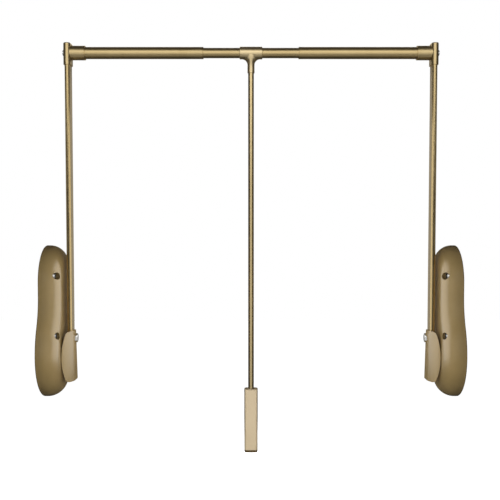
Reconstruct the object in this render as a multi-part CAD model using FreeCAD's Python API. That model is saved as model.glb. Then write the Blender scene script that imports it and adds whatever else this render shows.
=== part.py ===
import FreeCAD, Part
import math
import os

from FreeCAD import Vector

# Swing-down wardrobe rail: two wall casings, two arms, a telescopic rail and a pull rod, in millimetres.
# X runs across the wardrobe, Y into it and Z up. The origin is where the swing axis meets the left wall.

# Overall
span = 880.0                # left wall face to right wall face
arm_reach = 637.5           # swing axis to rail axis

# Clearances
run_gap = 0.05              # radial, between a shaft and its bush
slip_gap = 0.1              # between a piece and the socket that it is pushed into
free_gap = 0.3              # between pieces that move past each other

# Casing, in side view about the swing axis
case_front_top = 53.0       # reach of the narrow upper part towards the front
case_front_low = 83.0       # reach of the round lower part towards the front
case_rear = 72.0
case_top = 232.6
case_bottom = 90.0
case_top_apex = 23.0        # depth of the highest point
case_bottom_apex = 12.0     # depth of the lowest point
swell_top = 130.0           # height where the front starts to swell
case_height = 44.0          # out from the wall
case_wall = 3.0
case_round = 36.0
case_edge_r = 2.4           # of the edge at the wall
shaft_hole_room = 2.0

# Screw wells and wall screws
well_r = 7.4
well_wall = 2.0
well_high_inset = 16.0      # from the upper front edge
well_low_inset = 29.0       # from the lower front edge
well_high_z = 171.0
well_low_z = 48.0
ferrule_high = 33.2         # end of the upper ferrule, from the wall face
ferrule_low = 38.0
ferrule_wall = 1.5
ferrule_seat = 4.0          # under the head of the wall screw
wall_screw_r = 2.75

# Base plate and its screws
plate_thick = 2.0
plate_gap = 0.4
foot_thick = 2.5            # of each foot that is screwed to the plate
frame_screw_r = 2.0
frame_screw_head_r = 3.8
frame_screw_head = 2.6
case_screw_r = 1.75
case_screw_head_r = 3.4
case_screw_length = 12.0
case_screw_inset = 27.0     # from the casing's edge
case_boss_r = 4.5

# Shaft and its bearings
shaft_r = 7.0
shaft_flat = 5.5            # from the axis to the flat that drives the pinion and the bracket
hub_length = 3.5
hub_r = 13.0
bush_wall = 2.0
bush_flange = 1.2
bush_flange_r = 11.0
bush_tail = 1.0
collar_length = 4.3
collar_r = 10.0
clip_thick = 1.2
clip_r = 9.5
clip_groove = 1.5
bridge_thick = 2.5
bridge_front = 20.0
bridge_rear = 12.0
bridge_foot = 12.0

# Pinion and rack
gear_module = 2.0
gear_teeth = 20
gear_width = 12.0
gear_backlash = 0.15
pressure_angle = math.radians(20.0)
swing_angle = math.radians(110.0)
rack_back = 11.0            # from the tooth roots to the back of the rack
rack_spare = 10.0           # toothed length past the working part
tongue = 2.0
tongue_width = 2.5
yoke_thick = 5.0
guide_cheek = 4.0
guide_back = 7.7
guide_lug = 10.0
guide_lug_height = 12.0
stop_height = 5.8

# Lift spring and damper
spring_wire_r = 1.5
spring_r = 9.0              # to the middle of the wire
spring_length = 140.0
spring_turns = 13
spring_end_turns = 1        # closed turns at each end
guide_rod_r = 5.0
guide_rod_past = 8.0
spigot_r = 3.5
abutment_thick = 3.0
abutment_foot = 14.0
damper_depth = 50.0         # behind the swing axis
damper_r = 8.0
damper_bore = 6.2
damper_length = 80.0
damper_wall = 4.0
damper_rod_r = 3.0
damper_stud_r = 4.0
piston_length = 8.0
piston_inset = 5.0

# Arm and its bracket
arm_across = 10.8
arm_deep = 30.0
arm_wall = 1.5
arm_set_in = 10.4           # bracket's nearest edge to the middle of the arm
arm_foot = 15.0             # lower end of the arm above the swing axis
bracket_half = 53.5
bracket_wall = 3.0
bracket_web_gap = 1.5       # between the arm and the web
bracket_corner_depth = 11.0  # where the web meets the arched front
bracket_front_r = 57.5
bracket_front_turn = math.radians(79.0)  # of the front's normal at the web, from straight ahead
bracket_clear = 1.6         # casing to the bracket's nearest edge
bracket_bulge_r = 165.0
bracket_bulge_corner_r = 8.0
bracket_rear_top = 4.0
bracket_rear_low = 15.5
bracket_corner_r = 3.0
bracket_heel_r = 1.5
bracket_pin_r = 2.0
bolt_r = 5.0
bolt_height = 36.3
bolt_head = 4.6
bolt_flats = 17.0
bolt_chamfer = math.radians(30.0)

# Corner connector
socket_wall = 2.0
socket_above = 19.5         # over the rail axis
socket_below = 26.0
socket_roof = 4.0
sleeve_r = 15.0
sleeve_length = 36.0        # from the middle of the arm
sleeve_groove = 3.0         # from the sleeve's end
groove_width = 1.0
groove_deep = 0.6
joint_screw_r = 3.0
joint_head_r = 6.4
joint_head = 3.4
joint_slot = 2.2
joint_slot_deep = 2.0

# Rail
rail_r = 12.5
rail_wall = 1.2
inner_r = 10.65
inner_wall = 1.2
inner_half = 285.0
rail_open = 100.0           # middle of the rail to the end of an outer tube
rail_bush_length = 28.0
rail_bush_lip = 2.0
lock_screw_r = 2.5
lock_screw_inset = 15.0

# Tee, pull rod and grip
tee_r = 13.0
tee_half = 23.8
tee_drop = 42.0
tee_neck_r = 7.4
tee_fillet = 12.0
tee_groove_width = 4.6
tee_groove_deep = 0.45
tee_screw_r = 2.0
rod_r = 6.0
grip_top = 73.4             # below the swing axis
grip_length = 135.2
grip_across = 28.0
grip_deep = 22.0
grip_side_r = 4.0
grip_end_r = 1.5
grip_socket = 60.0
grip_pin_r = 1.5
grip_pin_drop = 45.0

middle = span / 2
rail_z = arm_reach
pitch_r = gear_module * gear_teeth / 2
root_r = pitch_r - 1.25 * gear_module
tip_r = pitch_r + gear_module
rack_travel = pitch_r * swing_angle
rack_pitch = math.pi * gear_module
bracket_tip = case_height + bracket_clear
arm_from_wall = bracket_tip + arm_set_in


def block(x0, x1, y0, y1, z0, z1):
    return Part.makeBox(x1 - x0, y1 - y0, z1 - z0, Vector(x0, y0, z0))


def along_x(r, x0, x1, y=0.0, z=0.0):
    return Part.makeCylinder(r, x1 - x0, Vector(x0, y, z), Vector(1, 0, 0))


def along_y(r, y0, y1, x, z):
    return Part.makeCylinder(r, y1 - y0, Vector(x, y0, z), Vector(0, 1, 0))


def along_z(r, z0, z1, x, y):
    return Part.makeCylinder(r, z1 - z0, Vector(x, y, z0), Vector(0, 0, 1))


def prism(points, push):
    """Straight-sided solid: a closed polygon pushed along a vector."""
    return Part.Face(Part.makePolygon(points + points[:1])).extrude(push)


def oval(across, deep, x, y, z0, z1):
    """Flat-oval bar along Z, with round front and back."""
    r = across / 2
    bar = block(x - r, x + r, y - deep / 2 + r, y + deep / 2 - r, z0, z1)
    front = along_z(r, z0, z1, x, y - deep / 2 + r)
    back = along_z(r, z0, z1, x, y + deep / 2 - r)
    return bar.fuse([front, back]).removeSplitter()


def d_bar(gap, x0, x1):
    """Shaft with its flat on the upper side, grown by a gap."""
    round_bar = along_x(shaft_r + gap, x0, x1)
    above = block(x0, x1, -2 * shaft_r, 2 * shaft_r, shaft_flat + gap, 2 * shaft_r)
    return round_bar.cut(above)


# Stack of the mechanism, out from the wall face
bush_face = plate_thick + hub_length + bush_flange
gear_start = bush_face + free_gap
gear_end = gear_start + gear_width
gear_mid = (gear_start + gear_end) / 2
collar_start = gear_end + slip_gap
collar_end = collar_start + collar_length
bridge_start = collar_end + slip_gap + bush_flange
bridge_end = bridge_start + bridge_thick
clip_start = bridge_end + bush_tail + free_gap
arm_outer_face = arm_from_wall + arm_across / 2
web_inside = arm_outer_face + bracket_web_gap
web_outside = web_inside + bracket_wall
arm_back_face = arm_from_wall - arm_across / 2

# Heights of the spring train
rack_back_y = pitch_r + 1.25 * gear_module + rack_back
rack_low = -(rack_travel + rack_spare)
yoke_low = tip_r + rack_spare - free_gap
yoke_top = yoke_low + yoke_thick
guide_top = yoke_low - stop_height - free_gap
spring_y = rack_back_y - spring_wire_r - spring_r + guide_cheek
abutment_low = yoke_top + spring_length
abutment_top = abutment_low + abutment_thick
yoke_front = bridge_rear + case_wall
yoke_rear = damper_depth + damper_rod_r + guide_cheek
yoke_half = spring_r + spring_wire_r

wells = [
    (well_high_inset - case_front_top, well_high_z),
    (well_low_inset - case_front_low, well_low_z),
]
ferrule_ends = [ferrule_high, ferrule_low]
case_screw_places = [
    (-case_wall, case_top - case_screw_inset),
    (case_rear - case_screw_inset, case_screw_inset - case_bottom),
    (case_screw_inset - case_front_low, -case_screw_inset),
]
bridge_half = tip_r + rack_spare + bridge_thick
bridge_screw_z = bridge_half + bridge_foot / 2
bridge_screw_ys = (-bridge_front / 2, bridge_rear / 3)
guide_rear = rack_back_y + free_gap + guide_back
guide_screw_y = guide_rear + guide_lug / 2
guide_low = -2 * tip_r
guide_lug_zs = (guide_low + guide_lug_height, guide_top - guide_lug_height)
abutment_front = spring_y - yoke_half
abutment_rear = damper_depth + damper_r + free_gap
abutment_screw_z = abutment_top + abutment_foot / 2
abutment_screw_ys = (abutment_front + frame_screw_head_r, abutment_rear - 2 * frame_screw_head_r)
frame_screw_places = [(y, s * bridge_screw_z) for y in bridge_screw_ys for s in (-1, 1)]
frame_screw_places += [(guide_screw_y, z) for z in guide_lug_zs]
frame_screw_places += [(y, abutment_screw_z) for y in abutment_screw_ys]


def arc(centre, r, start, turn):
    """Arc in the YZ plane from an angle through a turn, both in degrees from +Y."""
    def at(angle):
        a = math.radians(angle)
        return Vector(0, centre[0] + r * math.cos(a), centre[1] + r * math.sin(a))
    return Part.Arc(at(start), at(start + turn / 2), at(start + turn)).toShape()


def case_outline(inset):
    """Side view of the casing, drawn in by inset: quarter circles at the ends and a swelling front."""
    front_top = inset - case_front_top
    front_low = inset - case_front_low
    rear = case_rear - inset
    top = case_top - inset
    bottom = inset - case_bottom
    r_top_front = case_top_apex - front_top
    r_low_front = case_bottom_apex - front_low
    r_low_rear = rear - case_bottom_apex
    r_top_rear = rear - case_top_apex
    swell_low = bottom + r_low_front
    swell = front_top - front_low
    run = swell_top - swell_low
    swell_r = (run ** 2 + swell ** 2) / (4 * swell)
    swell_turn = math.degrees(math.asin(run / (2 * swell_r)))
    front_start = Vector(0, front_top, top - r_top_front)
    front_end = Vector(0, front_top, swell_top)
    rear_start = Vector(0, rear, bottom + r_low_rear)
    rear_end = Vector(0, rear, top - r_top_rear)
    edges = [
        arc((case_top_apex, top - r_top_front), r_top_front, 90, 90),
        Part.makeLine(front_start, front_end),
        arc((front_top - swell_r, swell_top), swell_r, 0, -swell_turn),
        arc((front_low + swell_r, swell_low), swell_r, 180 - swell_turn, swell_turn),
        arc((case_bottom_apex, swell_low), r_low_front, 180, 90),
        arc((case_bottom_apex, bottom + r_low_rear), r_low_rear, 270, 90),
        Part.makeLine(rear_start, rear_end),
        arc((case_top_apex, top - r_top_rear), r_top_rear, 0, 90),
    ]
    return Part.Wire(edges)


def case_form(inset, start):
    """Domed bean: the outline pushed out from the wall and rounded over, drawn in by inset."""
    height = case_height - inset
    body = Part.Face(case_outline(inset)).extrude(Vector(height - start, 0, 0))
    body.translate(Vector(start, 0, 0))
    rim = [e for e in body.Edges if e.BoundBox.XMin > height - slip_gap]
    return body.makeFillet(case_round - inset, rim)


def make_casing():
    outer = case_form(0, 0)
    foot = [e for e in outer.Edges if e.BoundBox.XMax < slip_gap]
    outer = outer.makeFillet(case_edge_r, foot)
    shell = outer.cut(case_form(case_wall, -case_wall))
    seat = plate_thick + slip_gap
    for y, z in wells:
        shell = shell.fuse(along_x(well_r + well_wall, seat, case_height, y, z).common(outer))
    for y, z in case_screw_places:
        shell = shell.fuse(along_x(case_boss_r, seat, case_height, y, z).common(outer))
    for y, z in wells:
        shell = shell.cut(along_x(well_r, 0, case_height + case_wall, y, z))
    for y, z in case_screw_places:
        shell = shell.cut(along_x(case_screw_r + run_gap, 0, case_screw_length + slip_gap, y, z))
    shaft_hole = along_x(shaft_r + shaft_hole_room, case_height / 2, case_height + case_wall)
    return shell.cut(shaft_hole).removeSplitter()


def make_base_plate():
    plate = Part.Face(case_outline(case_wall + plate_gap)).extrude(Vector(plate_thick, 0, 0))
    hub_end = plate_thick + hub_length
    plate = plate.fuse(along_x(hub_r, plate_thick / 2, hub_end))
    plate = plate.cut(along_x(shaft_r + bush_wall, plate_thick, hub_end))
    for y, z in wells:
        plate = plate.cut(along_x(wall_screw_r, 0, plate_thick, y, z))
    for y, z in frame_screw_places:
        plate = plate.cut(along_x(frame_screw_r + run_gap, 0, plate_thick, y, z))
    for y, z in case_screw_places:
        plate = plate.cut(case_screw_cone(slip_gap, y, z))
        plate = plate.cut(along_x(case_screw_r + slip_gap, 0, plate_thick, y, z))
    return plate


def case_screw_cone(gap, y, z):
    """Countersunk head of a casing screw, sunk by a slip gap under the wall face."""
    start = slip_gap if gap == 0 else 0
    deep = case_screw_head_r - case_screw_r
    return Part.makeCone(
        case_screw_head_r + gap, case_screw_r + gap, deep - start, Vector(start, y, z), Vector(1, 0, 0))


def make_case_screws():
    screws = []
    for y, z in case_screw_places:
        shank = along_x(case_screw_r, slip_gap, case_screw_length, y, z)
        screws.append(case_screw_cone(0, y, z).fuse(shank).removeSplitter())
    return Part.makeCompound(screws)


def make_ferrules():
    """Metal cups in the wells; each stands a little out of the casing on its front side."""
    tubes = []
    outer_r = well_r - free_gap
    for (y, z), end in zip(wells, ferrule_ends):
        tube = along_x(outer_r, plate_thick, end, y, z)
        tube = tube.cut(along_x(outer_r - ferrule_wall, plate_thick + ferrule_seat, end, y, z))
        tubes.append(tube.cut(along_x(wall_screw_r, plate_thick, end, y, z)))
    return Part.makeCompound(tubes)


def make_bridge():
    """Hat-shaped steel strip over the pinion, with a foot at each end."""
    foot_end = plate_thick + foot_thick
    half = bridge_half + bridge_foot
    body = block(plate_thick, bridge_end, -bridge_front, bridge_rear, -bridge_half, bridge_half)
    room = bridge_half - bridge_thick
    body = body.cut(block(plate_thick, bridge_start, -bridge_front, bridge_rear, -room, room))
    feet = block(plate_thick, foot_end, -bridge_front, bridge_rear, -half, half)
    feet = feet.cut(block(plate_thick, foot_end, -bridge_front, bridge_rear, -bridge_half, bridge_half))
    body = body.fuse(feet).removeSplitter()
    body = body.cut(along_x(shaft_r + bush_wall, bridge_start, bridge_end))
    for y in bridge_screw_ys:
        for z in (-bridge_screw_z, bridge_screw_z):
            body = body.cut(along_x(frame_screw_r + slip_gap, plate_thick, foot_end, y, z))
    return body


def make_frame_screws():
    screws = []
    head_start = plate_thick + foot_thick
    for y, z in frame_screw_places:
        shank = along_x(frame_screw_r, free_gap, head_start, y, z)
        head = along_x(frame_screw_head_r, head_start, head_start + frame_screw_head, y, z)
        screws.append(shank.fuse(head).removeSplitter())
    return Part.makeCompound(screws)


def make_bushes():
    """Two flanged bushes, one in the plate's hub and one in the bridge."""
    hub_end = plate_thick + hub_length
    bore = along_x(shaft_r + run_gap, 0, case_height)
    inner = along_x(shaft_r + bush_wall, plate_thick, hub_end)
    inner = inner.fuse(along_x(bush_flange_r, hub_end, bush_face))
    outer = along_x(shaft_r + bush_wall, bridge_start, bridge_end + bush_tail)
    outer = outer.fuse(along_x(bush_flange_r, bridge_start - bush_flange, bridge_start))
    return Part.makeCompound([inner.cut(bore).removeSplitter(), outer.cut(bore).removeSplitter()])


def make_shaft():
    hub_bottom = web_inside - slip_gap
    shaft = along_x(shaft_r, plate_thick + free_gap, gear_start)
    shaft = shaft.fuse(d_bar(0, gear_start, collar_start))
    shaft = shaft.fuse(along_x(collar_r, collar_start, collar_end))
    shaft = shaft.fuse(along_x(shaft_r, collar_end, case_height))
    shaft = shaft.fuse(d_bar(0, case_height, hub_bottom))
    groove = along_x(shaft_r, clip_start - run_gap, clip_start + clip_thick + run_gap)
    groove = groove.cut(along_x(shaft_r - clip_groove, clip_start - run_gap, clip_start + clip_thick + run_gap))
    pin_hole = along_y(bracket_pin_r + run_gap, -shaft_r, shaft_r, bracket_pin_x, 0)
    return shaft.cut(groove).cut(pin_hole).removeSplitter()


def make_clip():
    """Open ring in the shaft's groove."""
    seat = shaft_r - clip_groove + run_gap
    ring = along_x(clip_r, clip_start, clip_start + clip_thick)
    ring = ring.cut(along_x(seat, clip_start, clip_start + clip_thick))
    return ring.cut(block(clip_start, clip_start + clip_thick, -seat, seat, -clip_r, 0))


def make_pinion():
    """Involute pinion; a gap between two teeth faces the rack at rest."""
    base_r = pitch_r * math.cos(pressure_angle)
    roll = math.tan(pressure_angle) - pressure_angle
    half_tooth = math.pi / (2 * gear_teeth) - gear_backlash / (2 * pitch_r)
    steps = [base_r + (tip_r - base_r) * k / 4 for k in range(5)]

    def at(r, angle):
        return Vector(gear_start, r * math.cos(angle), r * math.sin(angle))

    def flank(side, middle_angle):
        points = []
        for r in steps:
            press = math.acos(min(1.0, base_r / r))
            spread = half_tooth + roll - (math.tan(press) - press)
            points.append(at(r, middle_angle + side * spread))
        return points

    edges = []
    pitch_angle = 2 * math.pi / gear_teeth
    for tooth in range(gear_teeth):
        centre = (tooth + 0.5) * pitch_angle
        rise = flank(-1, centre)
        fall = flank(1, centre)[::-1]
        foot_spread = half_tooth + roll
        foot_in = at(root_r, centre - foot_spread)
        foot_out = at(root_r, centre + foot_spread)
        next_in = at(root_r, centre + pitch_angle - foot_spread)
        rise_curve = Part.BSplineCurve()
        rise_curve.interpolate(rise)
        fall_curve = Part.BSplineCurve()
        fall_curve.interpolate(fall)
        edges += [
            Part.makeLine(foot_in, rise[0]),
            rise_curve.toShape(),
            Part.Arc(rise[-1], at(tip_r, centre), fall[0]).toShape(),
            fall_curve.toShape(),
            Part.makeLine(fall[-1], foot_out),
            Part.Arc(foot_out, at(root_r, centre + pitch_angle / 2), next_in).toShape(),
        ]
    wheel = Part.Face(Part.Wire(edges)).extrude(Vector(gear_width, 0, 0))
    return wheel.cut(d_bar(run_gap, gear_start, gear_end))


def make_rack_carriage():
    """Rack with a tongue on each side and a yoke on top that carries spring and damper."""
    tip_y = pitch_r - gear_module
    root_y = pitch_r + 1.25 * gear_module
    slope = math.tan(pressure_angle)
    half_pitch_line = (rack_pitch / 2 - gear_backlash) / 2
    half_tip = half_pitch_line - gear_module * slope
    half_root = half_pitch_line + 1.25 * gear_module * slope
    body = block(gear_start, gear_end, root_y, rack_back_y, rack_low, yoke_low)
    count_low = math.floor((rack_low + half_root) / rack_pitch) + 1
    count_high = math.floor(tip_r / (2 * rack_pitch))
    for k in range(count_low, count_high + 1):
        z = k * rack_pitch
        tooth = [
            Vector(gear_start, root_y, z - half_root),
            Vector(gear_start, tip_y, z - half_tip),
            Vector(gear_start, tip_y, z + half_tip),
            Vector(gear_start, root_y, z + half_root),
        ]
        body = body.fuse(prism(tooth, Vector(gear_width, 0, 0)))
    tongue_y = (root_y + rack_back_y) / 2
    tongues = block(
        gear_start - tongue, gear_end + tongue,
        tongue_y - tongue_width / 2, tongue_y + tongue_width / 2, rack_low, yoke_low)
    yoke = block(gear_mid - yoke_half, gear_mid + yoke_half, yoke_front, yoke_rear, yoke_low, yoke_top)
    body = body.fuse([tongues, yoke]).removeSplitter()
    body = body.cut(along_z(spigot_r, yoke_low, yoke_top, gear_mid, spring_y))
    return body.cut(along_z(damper_rod_r, yoke_low, yoke_top, gear_mid, damper_depth))


def make_rack_guide():
    """Moulded channel on the base plate; the rack's tongues run in its grooves."""
    root_y = pitch_r + 1.25 * gear_module
    tongue_y = (root_y + rack_back_y) / 2
    body = block(plate_thick, gear_end + tongue + guide_cheek, root_y + tongue, guide_rear, guide_low, guide_top)
    body = body.cut(block(
        gear_start - free_gap, gear_end + free_gap,
        root_y, rack_back_y + free_gap, guide_low, guide_top))
    body = body.cut(block(
        gear_start - tongue - free_gap, gear_end + tongue + free_gap,
        tongue_y - tongue_width / 2 - free_gap, tongue_y + tongue_width / 2 + free_gap, guide_low, guide_top))
    for z in guide_lug_zs:
        lug = block(
            plate_thick, plate_thick + foot_thick, guide_rear, guide_rear + guide_lug,
            z - guide_lug_height / 2, z + guide_lug_height / 2)
        body = body.fuse(lug)
    for z in guide_lug_zs:
        body = body.cut(along_x(frame_screw_r + slip_gap, plate_thick, plate_thick + foot_thick, guide_screw_y, z))
    return body.removeSplitter()


def make_stop():
    """Rubber block on the guide that the yoke comes to rest on."""
    return block(
        gear_start, gear_end, rack_back_y + 2 * free_gap, guide_rear, guide_top, guide_top + stop_height)


def make_spring():
    """Coil between yoke and abutment: closed turns at each end, open turns between."""
    wire = 2 * spring_wire_r
    low = yoke_top + free_gap + spring_wire_r
    high = abutment_low - free_gap - spring_wire_r
    close_pitch = wire + 2 * free_gap
    open_turns = spring_turns - 2 * spring_end_turns
    open_pitch = (high - low - 2 * spring_end_turns * close_pitch) / open_turns
    heights = [low]
    for turn in range(spring_turns):
        closed = turn < spring_end_turns or turn >= spring_turns - spring_end_turns
        step = close_pitch if closed else open_pitch
        heights += [heights[-1] + step / 2, heights[-1] + step]
    edges = []

    def at(half_turns, z):
        a = math.pi * half_turns
        return Vector(gear_mid + spring_r * math.cos(a), spring_y + spring_r * math.sin(a), z)

    for k in range(len(heights) - 1):
        z0, z1 = heights[k], heights[k + 1]
        edges.append(Part.Arc(at(k, z0), at(k + 0.5, (z0 + z1) / 2), at(k + 1, z1)).toShape())
    path = Part.Wire(edges)
    start = path.Edges[0].Curve.tangent(path.Edges[0].FirstParameter)[0]
    section = Part.Wire(Part.Circle(at(0, low), start, spring_wire_r).toShape())
    coil = path.makePipeShell([section], True, False)
    print("spring: least gap between turns", round(close_pitch - wire, 2), "mm, volume ratio",
          round(coil.Volume / (math.pi * spring_wire_r ** 2 * path.Length), 4))
    return coil


def make_guide_rod():
    rod = along_z(guide_rod_r, yoke_top, abutment_top + guide_rod_past, gear_mid, spring_y)
    return rod.fuse(along_z(spigot_r - run_gap, yoke_low, yoke_top, gear_mid, spring_y)).removeSplitter()


def make_abutment():
    """Angle plate that holds the top of the spring and of the damper."""
    side = gear_mid + yoke_half
    shelf = block(plate_thick, side, abutment_front, abutment_rear, abutment_low, abutment_top)
    foot = block(
        plate_thick, plate_thick + foot_thick, abutment_front, abutment_rear,
        abutment_top, abutment_top + abutment_foot)
    body = shelf.fuse(foot).removeSplitter()
    body = body.cut(along_z(guide_rod_r + free_gap, abutment_low, abutment_top, gear_mid, spring_y))
    body = body.cut(along_z(damper_stud_r + run_gap, abutment_low, abutment_top, gear_mid, damper_depth))
    for y in abutment_screw_ys:
        body = body.cut(along_x(
            frame_screw_r + slip_gap, plate_thick, plate_thick + foot_thick, y, abutment_screw_z))
    return body


def make_damper_cylinder():
    low = abutment_low - damper_length
    body = along_z(damper_r, low, abutment_low, gear_mid, damper_depth)
    body = body.cut(along_z(damper_bore, low + damper_wall, abutment_low - damper_wall, gear_mid, damper_depth))
    body = body.cut(along_z(damper_rod_r + run_gap, low, low + damper_wall, gear_mid, damper_depth))
    stud = along_z(damper_stud_r, abutment_low, abutment_top + damper_wall, gear_mid, damper_depth)
    return body.fuse(stud).removeSplitter()


def make_damper_rod():
    piston_low = abutment_low - damper_length + damper_wall + piston_inset
    rod = along_z(damper_rod_r - run_gap, yoke_low, piston_low, gear_mid, damper_depth)
    piston = along_z(damper_bore - slip_gap, piston_low, piston_low + piston_length, gear_mid, damper_depth)
    return rod.fuse(piston).removeSplitter()


bracket_pin_x = (bracket_tip + arm_back_face) / 2
pin_half = hub_r - free_gap


def bracket_section(inset, low, high):
    """Web and arched front of the bracket in plan, drawn in by inset, as a solid between two heights."""
    centre_x = web_outside - bracket_front_r * math.sin(bracket_front_turn)
    centre_y = bracket_front_r * math.cos(bracket_front_turn) - bracket_corner_depth
    r = bracket_front_r - inset
    web = web_outside - inset
    tip = bracket_tip - bracket_wall
    rear = bracket_rear_low + bracket_wall

    def on_front(x):
        return Vector(x, centre_y - math.sqrt(r ** 2 - (x - centre_x) ** 2), low)

    corner = on_front(web)
    end = on_front(tip)
    arch = Part.Arc(corner, on_front((web + tip) / 2), end).toShape()
    sides = [
        Part.makeLine(end, Vector(tip, rear, low)),
        Part.makeLine(Vector(tip, rear, low), Vector(web, rear, low)),
        Part.makeLine(Vector(web, rear, low), corner),
    ]
    body = Part.Face(Part.Wire([arch] + sides)).extrude(Vector(0, 0, high - low))
    edge = [e for e in body.Edges if e.BoundBox.ZLength > high - low - slip_gap
            and abs(e.BoundBox.XMin - web) < slip_gap and abs(e.BoundBox.YMin - corner.y) < slip_gap]
    return body.makeFillet(bracket_corner_r - inset / 2, edge)


def bracket_bulge():
    """Outline of the bracket seen along Y: a bulging outer edge with rounded ends, as a long bar."""
    start = -3 * bracket_half
    end_x = bracket_tip + bracket_bulge_r - math.sqrt(bracket_bulge_r ** 2 - bracket_half ** 2)
    low = Vector(end_x, start, -bracket_half)
    high = Vector(end_x, start, bracket_half)
    far_low = Vector(2 * web_outside, start, -bracket_half)
    far_high = Vector(2 * web_outside, start, bracket_half)
    edges = [
        Part.Arc(low, Vector(bracket_tip, start, 0), high).toShape(),
        Part.makeLine(high, far_high),
        Part.makeLine(far_high, far_low),
        Part.makeLine(far_low, low),
    ]
    bar = Part.Face(Part.Wire(edges)).extrude(Vector(0, -2 * start, 0))
    ends = [e for e in bar.Edges if e.BoundBox.YLength > -start and abs(e.BoundBox.XMin - end_x) < slip_gap]
    return bar.makeFillet(bracket_bulge_corner_r, ends)


def make_bracket():
    """Moulded arm carrier: web on the inner side, arched front with a bulging edge, hub on the swing axis."""
    body = bracket_section(0, -bracket_half, bracket_half)
    wall_top = bracket_half - bracket_wall
    body = body.cut(bracket_section(bracket_wall, -wall_top, wall_top))
    rest = block(
        arm_back_face - slip_gap - bracket_wall, arm_back_face - slip_gap,
        -bracket_corner_depth, bracket_rear_low, 0, wall_top)
    body = body.fuse(rest)
    side_view = [
        Vector(0, -3 * bracket_half, bracket_half),
        Vector(0, bracket_rear_top, bracket_half),
        Vector(0, bracket_rear_low, -bracket_half),
        Vector(0, -3 * bracket_half, -bracket_half),
    ]
    trim = prism(side_view, Vector(2 * web_outside, 0, 0))
    heel = [e for e in trim.Edges if e.BoundBox.YMin > bracket_rear_low - slip_gap and e.BoundBox.ZLength < slip_gap]
    trim = trim.makeFillet(bracket_heel_r, heel)
    bulge = bracket_bulge()
    hub = along_x(hub_r, bracket_tip, web_inside)
    body = body.common(trim).fuse(hub).common(bulge)
    body = body.cut(oval(
        arm_across + 2 * slip_gap, arm_deep + 2 * slip_gap, arm_from_wall, 0, arm_foot - slip_gap, 2 * bracket_half))
    body = body.cut(d_bar(run_gap, 0, web_inside))
    body = body.cut(along_y(bracket_pin_r + run_gap, -pin_half, hub_r, bracket_pin_x, 0))
    return body.cut(along_x(bolt_r + run_gap, arm_back_face - 2 * bracket_wall, web_outside, 0, bolt_height))


def make_bracket_pin():
    return along_y(bracket_pin_r, -pin_half + free_gap, pin_half, bracket_pin_x, 0)


def make_bolt():
    """Hex bolt through the web, the arm and the plate behind it; its head shows a flat to the front."""
    shank = along_x(bolt_r, arm_back_face - slip_gap - bracket_wall, web_outside, 0, bolt_height)
    corner_r = bolt_flats / 2 / math.cos(math.pi / 6)
    turns = [math.pi / 2 + k * math.pi / 3 for k in range(6)]
    corners = [
        Vector(web_outside, corner_r * math.cos(t), bolt_height + corner_r * math.sin(t)) for t in turns]
    head = prism(corners, Vector(bolt_head, 0, 0))
    face_r = bolt_flats / 2
    cap = Part.makeCone(
        face_r + bolt_head / math.tan(bolt_chamfer), face_r, bolt_head,
        Vector(web_outside, 0, bolt_height), Vector(1, 0, 0))
    head = head.common(cap)
    return shank.fuse(head).removeSplitter()


def make_arm():
    top = rail_z + socket_above - socket_roof - free_gap
    tube = oval(arm_across, arm_deep, arm_from_wall, 0, arm_foot, top)
    tube = tube.cut(oval(
        arm_across - 2 * arm_wall, arm_deep - 2 * arm_wall, arm_from_wall, 0, arm_foot, top))
    tube = tube.cut(along_x(bolt_r + run_gap, 0, web_outside, 0, bolt_height))
    return tube.cut(along_x(joint_screw_r + run_gap, 0, web_outside, 0, rail_z))


socket_across = arm_across + 2 * (slip_gap + socket_wall)
socket_deep = arm_deep + 2 * (slip_gap + socket_wall)
socket_outer_face = arm_from_wall - socket_across / 2
sleeve_seat = arm_from_wall + socket_across / 2 + slip_gap
sleeve_end = arm_from_wall + sleeve_length


def make_connector():
    """Oval socket over the arm's end with a round sleeve for the rail."""
    low = rail_z - socket_below
    top = rail_z + socket_above
    body = oval(socket_across, socket_deep, arm_from_wall, 0, low, top)
    rim = [e for e in body.Edges if e.BoundBox.ZMin > top - slip_gap]
    body = body.makeFillet(socket_wall, rim)
    body = body.fuse(along_x(sleeve_r, arm_from_wall, sleeve_end, 0, rail_z))
    groove_at = sleeve_end - sleeve_groove
    groove = along_x(sleeve_r + groove_deep, groove_at - groove_width, groove_at, 0, rail_z)
    groove = groove.cut(along_x(sleeve_r - groove_deep, groove_at - groove_width, groove_at, 0, rail_z))
    body = body.cut(groove)
    body = body.cut(oval(
        arm_across + 2 * slip_gap, arm_deep + 2 * slip_gap, arm_from_wall, 0, low, top - socket_roof))
    body = body.cut(along_x(rail_r + run_gap, sleeve_seat, sleeve_end, 0, rail_z))
    return body.cut(along_x(joint_screw_r + run_gap, 0, sleeve_seat, 0, rail_z)).removeSplitter()


def make_joint_screw():
    """Slotted screw through the socket's outer wall and the arm, into the wall beside the sleeve."""
    shank = along_x(joint_screw_r, socket_outer_face, sleeve_seat - slip_gap, 0, rail_z)
    head = along_x(joint_head_r, socket_outer_face - joint_head, socket_outer_face, 0, rail_z)
    rim = [e for e in head.Edges if e.BoundBox.XMax < socket_outer_face - joint_head + slip_gap
           and e.BoundBox.ZLength > joint_head_r]
    head = head.makeFillet(joint_head / 2, rim)
    slot = block(
        socket_outer_face - joint_head, socket_outer_face - joint_head + joint_slot_deep,
        -joint_head_r, joint_head_r, rail_z - joint_slot / 2, rail_z + joint_slot / 2)
    return head.cut(slot).fuse(shank).removeSplitter()


rail_end = middle - rail_open
lock_x = rail_end - lock_screw_inset


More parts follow.
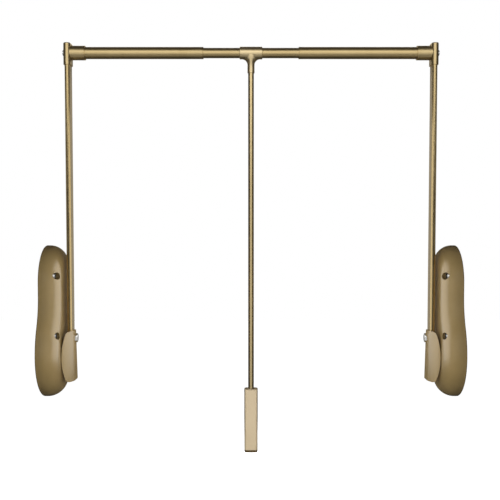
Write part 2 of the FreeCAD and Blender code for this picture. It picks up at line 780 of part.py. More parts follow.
def make_rail_tube():
    start = sleeve_seat + slip_gap
    end = rail_end - rail_bush_lip
    tube = along_x(rail_r, start, end, 0, rail_z).cut(along_x(rail_r - rail_wall, start, end, 0, rail_z))
    return tube.cut(along_y(lock_screw_r + run_gap, 0, rail_r, lock_x, rail_z))


def make_rail_bush():
    """Lipped plastic bush in the outer tube's end; the inner tube slides in it."""
    start = rail_end - rail_bush_length
    body = along_x(rail_r - rail_wall - run_gap, start, rail_end, 0, rail_z)
    body = body.fuse(along_x(rail_r, rail_end - rail_bush_lip, rail_end, 0, rail_z))
    body = body.cut(along_x(inner_r + run_gap, start, rail_end, 0, rail_z))
    return body.cut(along_y(lock_screw_r + run_gap, 0, rail_r, lock_x, rail_z)).removeSplitter()


def make_lock_screw():
    return along_y(lock_screw_r, inner_r + free_gap, rail_r + rail_wall, lock_x, rail_z)


def make_inner_tube():
    start = middle - inner_half
    end = middle + inner_half
    tube = along_x(inner_r, start, end, 0, rail_z).cut(along_x(inner_r - inner_wall, start, end, 0, rail_z))
    half = tee_groove_width / 2
    groove = along_x(inner_r, middle - half, middle + half, 0, rail_z)
    groove = groove.cut(along_x(inner_r - tee_groove_deep, middle - half, middle + half, 0, rail_z))
    return tube.cut(groove)


def make_tee():
    low = rail_z - tee_drop
    barrel = along_x(tee_r, middle - tee_half, middle + tee_half, 0, rail_z)
    neck = along_z(tee_neck_r, low, rail_z, middle, 0)
    body = barrel.fuse(neck)
    joint = [e for e in body.Edges if e.BoundBox.ZMax < rail_z and e.BoundBox.ZMin > low + slip_gap
             and e.BoundBox.XLength > tee_neck_r and e.BoundBox.XMax < middle + tee_half - slip_gap]
    body = body.makeFillet(tee_fillet, joint)
    body = body.cut(along_x(inner_r + run_gap, middle - tee_half, middle + tee_half, 0, rail_z))
    body = body.cut(along_z(rod_r + run_gap, low, rail_z - tee_r - slip_gap, middle, 0))
    return body.cut(along_y(tee_screw_r + run_gap, 0, tee_r, middle, rail_z))


def make_tee_screw():
    return along_y(tee_screw_r, inner_r - tee_groove_deep + free_gap, tee_r, middle, rail_z)


def make_pull_rod():
    top = rail_z - tee_r - 2 * slip_gap
    bottom = slip_gap - grip_top - grip_socket
    rod = along_z(rod_r, bottom, top, middle, 0)
    pin_hole = along_x(grip_pin_r + run_gap, middle - rod_r, middle + rod_r, 0, -grip_top - grip_pin_drop)
    return rod.cut(pin_hole)


def make_grip():
    """Upright block grip with rounded sides and ends, bored for the rod."""
    top = -grip_top
    low = top - grip_length
    half = grip_across / 2
    body = block(middle - half, middle + half, -grip_deep / 2, grip_deep / 2, low, top)
    upright = [e for e in body.Edges if e.BoundBox.ZLength > grip_length / 2]
    body = body.makeFillet(grip_side_r, upright)
    ends = [e for e in body.Edges if e.BoundBox.ZLength < slip_gap]
    body = body.makeFillet(grip_end_r, ends)
    body = body.cut(along_z(rod_r + run_gap, top - grip_socket, top, middle, 0))
    return body.cut(along_x(grip_pin_r + run_gap, middle - half, middle + half, 0, top - grip_pin_drop))


def make_grip_pin():
    half = grip_across / 2 - 2 * free_gap
    return along_x(grip_pin_r, middle - half, middle + half, 0, -grip_top - grip_pin_drop)


side_pieces = {
    "casing": make_casing,
    "base_plate": make_base_plate,
    "casing_screws": make_case_screws,
    "screw_ferrules": make_ferrules,
    "bearing_bridge": make_bridge,
    "frame_screws": make_frame_screws,
    "shaft_bushes": make_bushes,
    "pivot_shaft": make_shaft,
    "shaft_clip": make_clip,
    "pinion": make_pinion,
    "rack_carriage": make_rack_carriage,
    "rack_guide": make_rack_guide,
    "rubber_stop": make_stop,
    "lift_spring": make_spring,
    "spring_guide_rod": make_guide_rod,
    "spring_abutment": make_abutment,
    "damper_cylinder": make_damper_cylinder,
    "damper_rod": make_damper_rod,
    "arm_bracket": make_bracket,
    "bracket_pin": make_bracket_pin,
    "bracket_bolt": make_bolt,
    "arm_tube": make_arm,
    "corner_connector": make_connector,
    "connector_screw": make_joint_screw,
    "rail_tube": make_rail_tube,
    "rail_bush": make_rail_bush,
    "rail_lock_screw": make_lock_screw,
}
middle_pieces = {
    "inner_rail_tube": make_inner_tube,
    "tee_connector": make_tee,
    "tee_screw": make_tee_screw,
    "pull_rod": make_pull_rod,
    "handle_grip": make_grip,
    "grip_pin": make_grip_pin,
}

os.makedirs("parts", exist_ok=True)
for name, make in side_pieces.items():
    left = make()
    left.exportStep(f"parts/left_{name}.step")
    right = left.mirror(Vector(middle, 0, 0), Vector(1, 0, 0))
    right.exportStep(f"parts/right_{name}.step")
for name, make in middle_pieces.items():
    make().exportStep(f"parts/{name}.step")
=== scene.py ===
import math

import bmesh
import bpy
import numpy as np
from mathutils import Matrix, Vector


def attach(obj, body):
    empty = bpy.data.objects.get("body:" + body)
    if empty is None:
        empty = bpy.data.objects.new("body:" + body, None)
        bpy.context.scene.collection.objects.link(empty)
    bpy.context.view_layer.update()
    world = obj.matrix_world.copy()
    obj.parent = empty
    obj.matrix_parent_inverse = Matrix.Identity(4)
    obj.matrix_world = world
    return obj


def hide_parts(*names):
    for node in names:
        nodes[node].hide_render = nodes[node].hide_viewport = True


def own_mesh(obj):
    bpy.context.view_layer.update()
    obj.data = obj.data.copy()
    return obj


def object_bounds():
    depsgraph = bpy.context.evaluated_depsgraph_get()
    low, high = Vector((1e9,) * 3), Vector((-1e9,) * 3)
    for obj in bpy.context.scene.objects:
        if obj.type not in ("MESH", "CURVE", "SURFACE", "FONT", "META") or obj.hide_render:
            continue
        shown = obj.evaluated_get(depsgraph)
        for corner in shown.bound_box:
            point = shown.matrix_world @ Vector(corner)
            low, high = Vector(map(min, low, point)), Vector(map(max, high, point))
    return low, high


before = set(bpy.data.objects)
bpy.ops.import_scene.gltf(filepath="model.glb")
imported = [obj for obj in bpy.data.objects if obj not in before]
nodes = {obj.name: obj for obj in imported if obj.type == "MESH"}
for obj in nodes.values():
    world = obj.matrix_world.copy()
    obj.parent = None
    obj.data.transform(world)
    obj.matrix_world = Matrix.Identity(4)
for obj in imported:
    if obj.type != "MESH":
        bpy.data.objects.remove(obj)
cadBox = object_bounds()
mm = 0.001
sides = ("left", "right")
middleX = (cadBox[0].x + cadBox[1].x) / 2
print("frame loaded:", len(nodes), "nodes")

# the sRGB curve: a straight line up to the knee, then a power
srgb = {"knee": 0.04045, "slope": 12.92, "offset": 0.055, "power": 2.4}


# sRGB hex to the linear values that the shader takes
def linear(hexColour):
    parts = [int(hexColour[k:k + 2], 16) / 255 for k in (1, 3, 5)]
    bent = [((c + srgb["offset"]) / (1 + srgb["offset"])) ** srgb["power"] for c in parts]
    return [c / srgb["slope"] if c <= srgb["knee"] else b for c, b in zip(parts, bent)] + [1.0]


# one node with its settings (attributes or sockets) and the links into it
def addNode(tree, kind, settings=None, links=None):
    node = tree.nodes.new(kind)
    for key, value in (settings or {}).items():
        if isinstance(key, str) and hasattr(node, key):
            setattr(node, key, value)
        else:
            node.inputs[key].default_value = value
    for key, source in (links or {}).items():
        tree.links.new(source, node.inputs[key])
    return node


# Every finish is a grain (a noise with its own length in X, Y and Z) over a soft cloud, all in millimetres.
# Together they move the tone from dark to light and the roughness between two values. The grain also lifts
# the surface a little.
finishes = {
    # Drawn aluminium tube, brushed along X and anodised in a brass tone: a warm satin metal with fine lines
    # along the tube and a highlight that spreads across it. The real lines are 0.1 mm, drawn coarser to show.
    "anodisedTubeAlongX": {
        "dark": "#cdb480", "light": "#ddc591", "metallic": 1.0, "rough": (0.30, 0.38),
        "grain": (60, 0.8, 0.8), "lift": 0.006, "cloud": 40},
    # The same metal as a flat-oval tube, a little glossier, lines along Z
    "anodisedTubeAlongZ": {
        "dark": "#cdb480", "light": "#ddc591", "metallic": 1.0, "rough": (0.25, 0.33),
        "grain": (0.8, 0.8, 60), "lift": 0.006, "cloud": 40},
    # Drawn steel rod, brass plated and brushed along Z: the same lines, brighter than the anodised tubes
    "brassPlatedRod": {
        "dark": "#dcc490", "light": "#ead3a0", "metallic": 1.0, "rough": (0.25, 0.33),
        "grain": (0.8, 0.8, 60), "lift": 0.006, "cloud": 40},
    # Die-cast zinc in a brass-coloured metallic paint, the corner connectors: as warm as the tubes, without
    # their lines
    "brassPaintedZinc": {
        "dark": "#d1b986", "light": "#e0c997", "metallic": 1.0, "rough": (0.32, 0.40),
        "grain": (2.5, 2.5, 2.5), "lift": 0.010, "cloud": 25},
    # Die-cast zinc, brass plated, the tee: the brightest of the fittings, with a faint ripple of the casting
    "brassPlatedZinc": {
        "dark": "#ead2a0", "light": "#f6e0b2", "metallic": 1.0, "rough": (0.32, 0.40),
        "grain": (2.5, 2.5, 2.5), "lift": 0.010, "cloud": 25},
    # Champagne lacquer over the brackets' zinc: satin, a broad pale sheen, a fine orange peel.
    # The real grain is 0.2 mm, drawn coarser so that it shows.
    "champagneLacquer": {
        "dark": "#aa915f", "light": "#b59b69", "metallic": 0.0, "ior": 1.5, "rough": (0.28, 0.36),
        "grain": (0.9, 0.9, 0.9), "lift": 0.012, "cloud": 30},
    # The grip is moulded in a paler champagne ABS without lacquer: softer and lighter than the casings
    "paleChampagneAbs": {
        "dark": "#cdb997", "light": "#d6c3a1", "metallic": 0.0, "ior": 1.5, "rough": (0.42, 0.52),
        "grain": (0.9, 0.9, 0.9), "lift": 0.010, "cloud": 30},
    # Zinc plating on turned and headed steel: cool, bright, slightly blotched by the passivation
    "zincPlatedSteel": {
        "dark": "#d2d1cc", "light": "#efeeea", "metallic": 1.0, "rough": (0.16, 0.26),
        "grain": (1.2, 1.2, 1.2), "lift": 0.004, "cloud": 6},
    # Galvanised sheet: dull grey with spangles of a few millimetres
    "galvanisedSheet": {
        "dark": "#8d8f8e", "light": "#b4b6b4", "metallic": 1.0, "rough": (0.38, 0.52),
        "grain": (6.0, 6.0, 6.0), "lift": 0.004, "cloud": 30},
    # Ground steel of shafts, pins and gears: even grey, tight highlight
    "groundSteel": {
        "dark": "#8b8b8b", "light": "#a7a7a6", "metallic": 1.0, "rough": (0.25, 0.35),
        "grain": (0.8, 0.8, 0.8), "lift": 0.003, "cloud": 20},
    # Oil-hardened spring wire: nearly black with an oily gloss
    "oiledSpringWire": {
        "dark": "#4b4b4d", "light": "#626265", "metallic": 1.0, "rough": (0.25, 0.40),
        "grain": (1.5, 1.5, 1.5), "lift": 0.004, "cloud": 20},
    # Natural nylon of bushes, rack and guide: milky and a little waxy
    "naturalNylon": {
        "dark": "#d8d3c2", "light": "#e4dfd0", "metallic": 0.0, "ior": 1.53, "rough": (0.42, 0.55),
        "grain": (1.5, 1.5, 1.5), "lift": 0.006, "cloud": 20},
    # Nylon end bushes of the rail in a brass-coloured metallic paint: a ring a little duller than its tube
    "brassPaintedNylon": {
        "dark": "#c3ab78", "light": "#d0b886", "metallic": 1.0, "rough": (0.34, 0.44),
        "grain": (1.5, 1.5, 1.5), "lift": 0.006, "cloud": 20},
    # Painted shade under the grip: its foot in a matt dark brown, a dark line standing in for the shade along
    # the grip's bottom
    "footShadeBrown": {
        "dark": "#55452a", "light": "#66543a", "metallic": 0.0, "ior": 1.53, "rough": (0.45, 0.58),
        "grain": (1.5, 1.5, 1.5), "lift": 0.006, "cloud": 20},
    # Black stoving enamel of the damper: deep black with an orange-peel ripple
    "blackEnamel": {
        "dark": "#17181a", "light": "#222326", "metallic": 0.0, "ior": 1.5, "rough": (0.25, 0.38),
        "grain": (2.0, 2.0, 2.0), "lift": 0.010, "cloud": 20},
    # Rubber of the stop: matt black
    "blackRubber": {
        "dark": "#121212", "light": "#1d1d1c", "metallic": 0.0, "ior": 1.52, "rough": (0.75, 0.90),
        "grain": (1.0, 1.0, 1.0), "lift": 0.020, "cloud": 15},
}
# The same lacquer on the casings' ABS, with painted shade inside the screw wells: a dark brown disc of colour
# where each well lies.
finishes["champagneLacquerShadedWells"] = {
    **finishes["champagneLacquer"],
    "wells": {"at": ((0, -37, 171), (0, -54, 48)), "radius": 7.45, "tone": "#66532f"}}

# the two noises, their shares in the sum, and the range of the sum that a finish is spread over
noise = {"grainDetail": 4.0, "grainRoughness": 0.55, "cloudDetail": 2.0, "grainShare": 0.6, "cloudShare": 0.4,
         "low": 0.32, "high": 0.68}


# In a colour mix, sockets 6 and 7 are the two colours and output 2 is the result.
def makeFinish(name, look):
    made = bpy.data.materials.new(name)
    made.use_nodes = True
    tree = made.node_tree
    tree.nodes.clear()
    place = addNode(tree, "ShaderNodeTexCoord").outputs["Object"]
    stretched = addNode(tree, "ShaderNodeMapping", {"Scale": [1 / (g * mm) for g in look["grain"]]},
                        {"Vector": place})
    grain = addNode(tree, "ShaderNodeTexNoise",
                    {"Scale": 1.0, "Detail": noise["grainDetail"], "Roughness": noise["grainRoughness"]},
                    {"Vector": stretched.outputs["Vector"]})
    cloud = addNode(tree, "ShaderNodeTexNoise",
                    {"Scale": 1 / (look["cloud"] * mm), "Detail": noise["cloudDetail"]}, {"Vector": place})
    faint = addNode(tree, "ShaderNodeMath", {"operation": "MULTIPLY", 1: noise["cloudShare"]},
                    {0: cloud.outputs["Fac"]})
    mixed = addNode(tree, "ShaderNodeMath", {"operation": "MULTIPLY_ADD", 1: noise["grainShare"]},
                    {0: grain.outputs["Fac"], 2: faint.outputs[0]})
    spread = {"From Min": noise["low"], "From Max": noise["high"]}
    tone = addNode(tree, "ShaderNodeMapRange", spread, {"Value": mixed.outputs[0]})
    colour = addNode(tree, "ShaderNodeMix",
                     {"data_type": "RGBA", 6: linear(look["dark"]), 7: linear(look["light"])},
                     {0: tone.outputs["Result"]}).outputs[2]
    # painted shade in the screw wells: a well is all that lies nearer to its axis, which runs along X, than
    # its radius, and there the colour turns to the well's dark tone
    wells = look.get("wells", {"at": ()})
    for centre in wells["at"]:
        across = addNode(tree, "ShaderNodeVectorMath", {"operation": "MULTIPLY", 1: (0, 1, 1)}, {0: place})
        away = addNode(tree, "ShaderNodeVectorMath",
                       {"operation": "DISTANCE", 1: [c * mm for c in centre]},
                       {0: across.outputs["Vector"]})
        inWellShade = addNode(tree, "ShaderNodeMath", {"operation": "LESS_THAN", 1: wells["radius"] * mm},
                         {0: away.outputs["Value"]})
        colour = addNode(tree, "ShaderNodeMix", {"data_type": "RGBA", 7: linear(wells["tone"])},
                         {0: inWellShade.outputs[0], 6: colour}).outputs[2]
    smoothest, roughest = look["rough"]
    rough = addNode(tree, "ShaderNodeMapRange", {**spread, "To Min": smoothest, "To Max": roughest},
                    {"Value": mixed.outputs[0]})
    raised = addNode(tree, "ShaderNodeBump", {"Distance": look["lift"] * mm},
                     {"Height": grain.outputs["Fac"]})
    shader = {"Metallic": look["metallic"]}
    if "ior" in look:
        shader["IOR"] = look["ior"]
    surface = addNode(tree, "ShaderNodeBsdfPrincipled", shader,
                      {"Base Color": colour, "Roughness": rough.outputs["Result"],
                       "Normal": raised.outputs["Normal"]})
    addNode(tree, "ShaderNodeOutputMaterial", None, {"Surface": surface.outputs["BSDF"]})
    return made


finish = {name: makeFinish(name, look) for name, look in finishes.items()}
print("finishes:", len(finish))

# which finish each node of the frame wears, the left and the right side alike
sideFinish = {
    "casing": "champagneLacquerShadedWells", "arm_bracket": "champagneLacquer",
    "base_plate": "galvanisedSheet", "bearing_bridge": "galvanisedSheet",
    "spring_abutment": "galvanisedSheet", "casing_screws": "zincPlatedSteel",
    "screw_ferrules": "zincPlatedSteel", "frame_screws": "zincPlatedSteel",
    "bracket_bolt": "zincPlatedSteel", "connector_screw": "zincPlatedSteel",
    "rail_lock_screw": "zincPlatedSteel", "shaft_bushes": "naturalNylon",
    "rack_carriage": "naturalNylon", "rack_guide": "naturalNylon",
    "rail_bush": "brassPaintedNylon", "rubber_stop": "blackRubber",
    "damper_cylinder": "blackEnamel", "pivot_shaft": "groundSteel",
    "shaft_clip": "groundSteel", "pinion": "groundSteel",
    "spring_guide_rod": "groundSteel", "damper_rod": "groundSteel",
    "bracket_pin": "groundSteel", "arm_tube": "anodisedTubeAlongZ",
    "rail_tube": "anodisedTubeAlongX", "corner_connector": "brassPaintedZinc",
}
nodeFinish = {f"{side}_{name}": look for name, look in sideFinish.items() for side in sides}
nodeFinish.update({
    "inner_rail_tube": "anodisedTubeAlongX", "tee_screw": "zincPlatedSteel",
    "pull_rod": "brassPlatedRod", "grip_pin": "groundSteel",
})
dressed = {}
for nodeName, look in nodeFinish.items():
    skin = nodes[nodeName].data
    skin.materials.clear()
    skin.materials.append(finish[look])
    dressed[nodes[nodeName]] = look
print("nodes dressed:", len(dressed))

# points nearer than `join` (metres) become one, edges from `sharp` (degrees) on stay sharp
meshing = {"join": 1e-6, "sharp": 40}


# Grids of points (rows by columns, the columns closed into a ring, millimetres) become one mesh.
# A row whose points all meet is a pole, and merging closes it.
def makePiece(name, grids, look, body, replaced):
    points, quads, first = [], [], 0
    for grid in grids:
        rows, columns = grid.shape[:2]
        row = first + columns * np.arange(rows - 1)[:, None]
        here = np.arange(columns)
        after = (here + 1) % columns
        corners = [row + here, row + after, row + columns + after, row + columns + here]
        quads.append(np.stack(corners, -1).reshape(-1, 4))
        points.append(grid.reshape(-1, 3) * mm)
        first += rows * columns
    mesh = bpy.data.meshes.new(name)
    mesh.from_pydata(np.concatenate(points).tolist(), [], np.concatenate(quads).tolist())
    merged = bmesh.new()
    merged.from_mesh(mesh)
    bmesh.ops.remove_doubles(merged, verts=merged.verts, dist=meshing["join"])
    bmesh.ops.recalc_face_normals(merged, faces=merged.faces)
    merged.to_mesh(mesh)
    merged.free()
    mesh.shade_smooth()
    mesh.set_sharp_from_angle(angle=math.radians(meshing["sharp"]))
    mesh.materials.append(finish[look])
    obj = bpy.data.objects.new(name, mesh)
    bpy.context.scene.collection.objects.link(obj)
    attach(obj, body)
    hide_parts(replaced)
    dressed[obj] = look
    return obj


# Grip: a moulded bar with a darker foot, painted shade along its bottom, its long edges rolled over further
# to the back than across the face
grip = {"across": 28.8, "deep": 22.0, "top": -72.2, "length": 137.6,
        "edgeWide": 4.4, "edgeDeep": 10.0, "cornerPoints": 13, "ease": 1.0, "topHigh": 3.0, "topDeep": 6.0,
        "foot": 6.0, "footHigh": 3.0, "footDeep": 4.0, "bore": 6.05, "socket": 60.0}


# Rounded rectangles stacked upwards: a corner is a quarter ellipse moved out to its own corner of the
# rectangle. At an end the rectangle shrinks along a quarter ellipse. Inside the top it goes on as a round
# socket. The rings below the joint are the foot, a dark brown band of painted shade, and a lid closes both at
# the joint.
def makeGrip():
    quarter = np.linspace(0, math.pi / 2, grip["cornerPoints"])
    turn = (quarter + np.arange(4)[:, None] * math.pi / 2).ravel()
    cornerX = np.repeat([1, -1, -1, 1], len(quarter))
    cornerY = np.repeat([1, 1, -1, -1], len(quarter))
    top, low = grip["top"], grip["top"] - grip["length"]
    rise = 1 - np.cos(quarter)
    shrink = 1 - np.sin(quarter)
    sunk = top - grip["socket"]
    joint = low + grip["foot"]
    height = np.concatenate([[low], low + grip["footHigh"] * rise, [joint],
                             top - grip["topHigh"] * rise[::-1], [top, sunk, sunk]])
    insetX = grip["ease"] * np.concatenate([shrink, [0], shrink[::-1]])
    insetY = np.concatenate([grip["footDeep"] * shrink, [0], grip["topDeep"] * shrink[::-1]])
    outerX = grip["across"] / 2 - insetX
    outerY = grip["deep"] / 2 - insetY
    socket = [grip["bore"], grip["bore"], 0]
    halfX = np.concatenate([[0], outerX, socket])[:, None]
    halfY = np.concatenate([[0], outerY, socket])[:, None]
    wide = np.concatenate([[0], np.minimum(grip["edgeWide"], outerX), socket])[:, None]
    deep = np.concatenate([[0], np.minimum(grip["edgeDeep"], outerY), socket])[:, None]
    x = cornerX * (halfX - wide) + wide * np.cos(turn) + middleX / mm
    y = cornerY * (halfY - deep) + deep * np.sin(turn)
    z = np.repeat(height[:, None], len(turn), 1)
    rings = np.stack([x, y, z], -1)
    lid = rings[:1] + [0, 0, grip["foot"]]
    seam = int(np.flatnonzero(height == joint)[0])
    bar = np.concatenate([lid, rings[seam:]])
    foot = np.concatenate([rings[:seam + 1], lid])
    makePiece("grip", [bar], "paleChampagneAbs", "pull_rod", "handle_grip")
    # the foot is painted shade: a dark brown band along the bottom of the grip
    makePiece("gripShadedFoot", [foot], "footShadeBrown", "pull_rod", "handle_grip")


makeGrip()

# Tee: a sleeve on the inner tube, and a neck for the rod that flares into it
tee = {"height": 637.5, "sleeve": 13.0, "half": 23.8, "bore": 10.7, "bevel": 0.7,
       "neck": 7.4, "start": 1.0, "drop": 42.0, "flare": 12.0, "front": 12.6, "taper": 30.0, "root": 11.2,
       "lip": 0.4, "rodBore": 6.05, "seat": 13.1, "points": 96, "rows": 40, "capRows": 6}


# The sleeve turns a rectangle with bevelled corners about the rail's axis.
# The neck stacks rings downwards: half the width follows a quarter circle from the sleeve to the neck, half
# the depth eases from the sleeve's front to the neck, and the ring goes from a parabola's bow to a circle.
# Near the inner tube the ring is pushed out to a cylinder within the sleeve's wall, where it closes.
def makeTee():
    around = np.linspace(0, 2 * math.pi, tee["points"], endpoint=False)
    half, bevel, outer, bore = tee["half"], tee["bevel"], tee["sleeve"], tee["bore"]
    along = np.array([-half, -half, bevel - half, half - bevel, half, half, -half])[:, None]
    radius = np.array([bore, outer - bevel, outer, outer, outer - bevel, bore, bore])[:, None]
    x = np.repeat(along, len(around), 1) + middleX / mm
    sleeve = np.stack([x, radius * np.cos(around), radius * np.sin(around) + tee["height"]], -1)

    slim, flare, start, taper, root = tee["neck"], tee["flare"], tee["start"], tee["taper"], tee["root"]
    flared = np.linspace(start, outer + flare, tee["rows"])
    below = np.concatenate([flared, [taper, tee["drop"] - tee["lip"]]])[:, None]
    reach = np.clip(outer + flare - below, 0, flare)
    wide = slim + flare - np.sqrt(flare ** 2 - reach ** 2)
    share = np.clip((below - start) / (taper - start), 0, 1)
    deep = tee["front"] + (slim - tee["front"]) * share ** 2 * (3 - 2 * share)
    bow = (wide - slim) / flare
    rise = np.abs(np.sin(around))
    ringX = wide * np.cos(around)
    ringY = deep * np.sign(np.sin(around)) * ((1 - bow) * rise + bow * rise ** 2)
    ringZ = np.repeat(-below, len(around), 1)
    push = np.maximum(1, root / np.hypot(ringY, ringZ))
    ringY, ringZ = ringY * push, ringZ * push

    shrink = np.linspace(0, 1, tee["capRows"], endpoint=False)[:, None]
    slant = shrink * np.arctan2(ringY[0], -ringZ[0])
    far = root + shrink * (np.hypot(ringY[0], ringZ[0]) - root)
    cap = np.stack([shrink * ringX[0], far * np.sin(slant), -far * np.cos(slant)], -1)
    endR = np.array([slim - tee["lip"], tee["rodBore"], tee["rodBore"], 0])[:, None]
    endZ = -np.array([tee["drop"], tee["drop"], tee["seat"], tee["seat"]])[:, None]
    end = np.stack([endR * np.cos(around), endR * np.sin(around), np.repeat(endZ, len(around), 1)], -1)
    rings = np.concatenate([cap, np.stack([ringX, ringY, ringZ], -1), end])
    neck = rings + [middleX / mm, 0, tee["height"]]
    makePiece("tee", [sleeve, neck], "brassPlatedZinc", "pull_rod", "tee_connector")


makeTee()

# Lift springs: round wire, one closed turn at each end
spring = {"radius": 9.0, "wire": 1.5, "low": 36.7, "high": 176.7, "turns": 13, "fromWall": 13.0, "deep": 27.0,
          "travel": 38.41, "turnPoints": 40, "wirePoints": 14}


# A circle carried along a helix. The first and the last turn climb by one thickness of the wire, the turns
# between share the rest.
def makeSpring(side, centreX):
    wire, turns = spring["wire"], spring["turns"]
    turn = np.linspace(0, turns, turns * spring["turnPoints"] + 1)[:, None]
    low, high = spring["low"] + wire, spring["high"] - wire
    height = np.interp(turn, [0, 1, turns - 1, turns], [low, low + 2 * wire, high - 2 * wire, high])
    angle = 2 * math.pi * turn
    around = np.linspace(0, 2 * math.pi, spring["wirePoints"], endpoint=False)
    thick = np.full_like(angle, wire)
    thick[0] = thick[-1] = 0
    fromAxis = spring["radius"] + thick * np.cos(around)
    x = centreX + fromAxis * np.cos(angle)
    y = spring["deep"] + fromAxis * np.sin(angle)
    z = height + thick * np.sin(around)
    piece = makePiece(f"{side}Spring", [np.stack([x, y, z], -1)], "oiledSpringWire",
                      f"{side}_unit", f"{side}_lift_spring")
    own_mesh(piece)


makeSpring("left", spring["fromWall"])
makeSpring("right", 2 * middleX / mm - spring["fromWall"])
print("pieces: grip and foot, tee, springs")

# Pale floor: a plain square, white like the air around it
floor = {"width": 12.0, "height": -0.75, "tone": "#ffffff", "glow": 1.0}


# Four corners, half the width away from the middle. The floor gives the part no light, shadow or reflection.
def makeFloor():
    corner = np.array([[-0.5, -0.5], [0.5, -0.5], [0.5, 0.5], [-0.5, 0.5]]) * floor["width"] + [middleX, 0]
    mesh = bpy.data.meshes.new("floor")
    mesh.from_pydata(np.column_stack([corner, np.full(4, floor["height"])]).tolist(), [], [[0, 1, 2, 3]])
    paper = bpy.data.materials.new("paleFloorPaper")
    paper.use_nodes = True
    surface = paper.node_tree.nodes["Principled BSDF"]
    surface.inputs["Base Color"].default_value = linear(floor["tone"])
    surface.inputs["Emission Color"].default_value = linear(floor["tone"])
    surface.inputs["Emission Strength"].default_value = floor["glow"]
    mesh.materials.append(paper)
    obj = bpy.data.objects.new("floor", mesh)
    bpy.context.scene.collection.objects.link(obj)
    obj.visible_glossy = False
    obj.visible_diffuse = False
    obj.visible_shadow = False


makeFloor()

# Soft boxes, in metres from the middle plane. `glow` is the brightness of the cloth, 1.0 being white in the
# picture, and `lights` names the one group of pieces that a box reaches. A box without `diffuse` only draws
# highlights, one without `glossy` draws none. A pair is mirrored about the middle plane.
softBoxes = {
    "lamp": {"at": (0.0, -0.48, 0.08), "facing": (0, 1, 0), "size": (0.40, 0.54), "glow": 2.85,
             "glossy": False, "lights": "casings"},
    "middleLamp": {"at": (0.0, -0.48, -0.12), "facing": (0, 1, 0), "size": (0.30, 0.30), "glow": 7.0,
                   "glossy": False, "lights": "middle"},
    "fill": {"at": (0.0, -3.00, 0.80), "facing": (0, 1, -0.15), "size": (2.0, 2.0), "glow": 1.1,
             "glossy": False},
    "strip": {"at": (0.0, -1.42, 1.16), "facing": (0, 1.42, -0.53), "size": (2.6, 1.06), "glow": 1.16,
              "diffuse": False, "lights": "metal"},
    "front": {"at": (0.0, -2.20, 0.02), "facing": (0, 1, 0), "size": (3.0, 1.45), "glow": 0.70,
              "diffuse": False, "lights": "bars"},
    "low": {"at": (0.0, -1.00, -0.90), "facing": (0, 1.0, 1.54), "size": (2.6, 1.2), "glow": 0.28,
            "diffuse": False, "lights": "metal"},
    "between": {"at": (0.05, -0.175, 0.17), "facing": (1, 0, 0), "size": (0.85, 0.74), "glow": 0.71,
                "pair": True, "diffuse": False, "lights": "arms"},
    "sheen": {"at": (0.05, 0.06, 0.20), "facing": (1, 0, 0), "size": (0.44, 0.6), "glow": 3.4,
              "pair": True, "diffuse": False, "lights": "casings"},
    "inner": {"at": (0.05, -0.02, 0.20), "facing": (1, 0, 0), "size": (0.40, 0.6), "glow": 1.1,
              "pair": True, "glossy": False, "lights": "casings"},
    "wall": {"at": (2.6, 0.0, 0.0), "facing": (-1, 0, 0), "size": (3.6, 3.0), "glow": 0.9,
             "pair": True, "lights": "wallSides"},
    "sides": {"at": (2.6, 0.0, 0.2), "facing": (-1, 0, 0), "size": (1.6, 1.6), "glow": 0.35,
              "pair": True, "diffuse": False, "lights": "arms"},
    "back": {"at": (0.0, 2.30, 0.30), "facing": (0, -1, 0), "size": (3.0, 1.45), "glow": 0.34,
             "diffuse": False, "lights": "metal"},
    "backStrip": {"at": (0.0, 1.42, 1.37), "facing": (0, -1.42, -0.7), "size": (2.6, 0.7), "glow": 1.4,
                  "diffuse": False, "lights": "metal"},
    "backLamp": {"at": (0.0, 2.30, 0.30), "facing": (0, -1, 0), "size": (1.6, 1.4), "glow": 4.0,
                 "glossy": False},
}
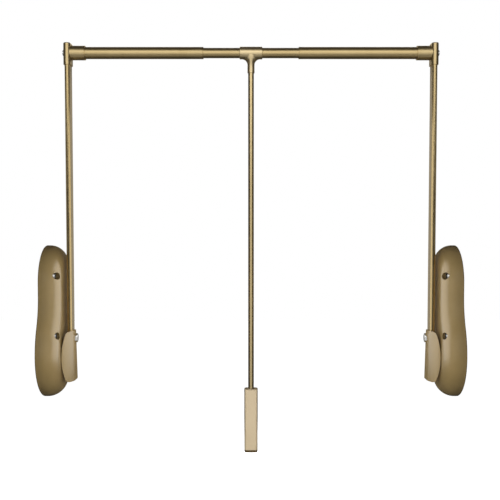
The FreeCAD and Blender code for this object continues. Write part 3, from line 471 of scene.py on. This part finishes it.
# how the names of a group's pieces end; all metal is a group as well, and the bars are the metal but the arms
groupEndings = {
    "casings": ("casing", "arm_bracket", "bracket_bolt", "screw_ferrules"),
    "arms": ("arm_tube",),
    "wallSides": ("base_plate", "casing_screws", "frame_screws"),
    "middle": ("grip", "gripShadedFoot"),
}
groups = {name: bpy.data.collections.new(name) for name in (*groupEndings, "metal", "bars")}
for obj, look in dressed.items():
    memberOf = [name for name, endings in groupEndings.items() if obj.name.endswith(endings)]
    if finishes[look]["metallic"]:
        memberOf += ["metal"] if "arms" in memberOf else ["metal", "bars"]
    for name in memberOf:
        groups[name].objects.link(obj)
for name, box in softBoxes.items():
    for side in (1, -1) if box.get("pair") else (1,):
        lamp = bpy.data.lights.new(name, "AREA")
        lamp.shape = "RECTANGLE"
        lamp.size, lamp.size_y = box["size"]
        lamp.energy = box["glow"] * math.pi * lamp.size * lamp.size_y
        lampObj = bpy.data.objects.new(name, lamp)
        bpy.context.scene.collection.objects.link(lampObj)
        x, y, z = box["at"]
        lampObj.location = (middleX + side * x, y, z)
        facing = Vector(box["facing"]) * Vector((side, 1, 1))
        lampObj.rotation_euler = facing.to_track_quat("-Z", "Y").to_euler()
        lampObj.visible_camera = False
        lampObj.visible_glossy = box.get("glossy", True)
        lampObj.visible_diffuse = box.get("diffuse", True)
        if "lights" in box:
            lampObj.light_linking.receiver_collection = groups[box["lights"]]

# Air: white to the eye, faint as a light
air = {"tone": "#ffffff", "seen": 1.0, "glow": 0.045}
world = bpy.data.worlds.new("studio")
world.use_nodes = True
tree = world.node_tree
tree.nodes.clear()
eye = addNode(tree, "ShaderNodeLightPath")
faint = addNode(tree, "ShaderNodeBackground", {"Color": linear(air["tone"]), "Strength": air["glow"]})
white = addNode(tree, "ShaderNodeBackground", {"Color": linear(air["tone"]), "Strength": air["seen"]})
either = addNode(tree, "ShaderNodeMixShader", None,
                 {0: eye.outputs["Is Camera Ray"], 1: faint.outputs[0], 2: white.outputs[0]})
addNode(tree, "ShaderNodeOutputWorld", None, {"Surface": either.outputs[0]})
bpy.context.scene.world = world

# Camera: the photograph's view. Metres and degrees, the sensor in millimetres; the focal length of 780 px
# and the shift of a pixel are shares of the picture's 500 px.
view = {"distance": 1.655, "height": 0.2993, "pitch": 2.62, "focal": 780 / 500, "shift": -1 / 500,
        "sensor": 36.0}
camera = bpy.data.cameras.new("camera")
camera.sensor_width = view["sensor"]
camera.lens = view["sensor"] * view["focal"]
camera.shift_x = view["shift"]
cameraObj = bpy.data.objects.new("camera", camera)
bpy.context.scene.collection.objects.link(cameraObj)
cameraObj.location = (middleX, -view["distance"], view["height"])
cameraObj.rotation_euler = (math.radians(90 - view["pitch"]), 0, 0)
bpy.context.scene.camera = cameraObj
bpy.context.scene.view_settings.view_transform = "Standard"
print("lights and camera placed")

bpy.context.view_layer.update()
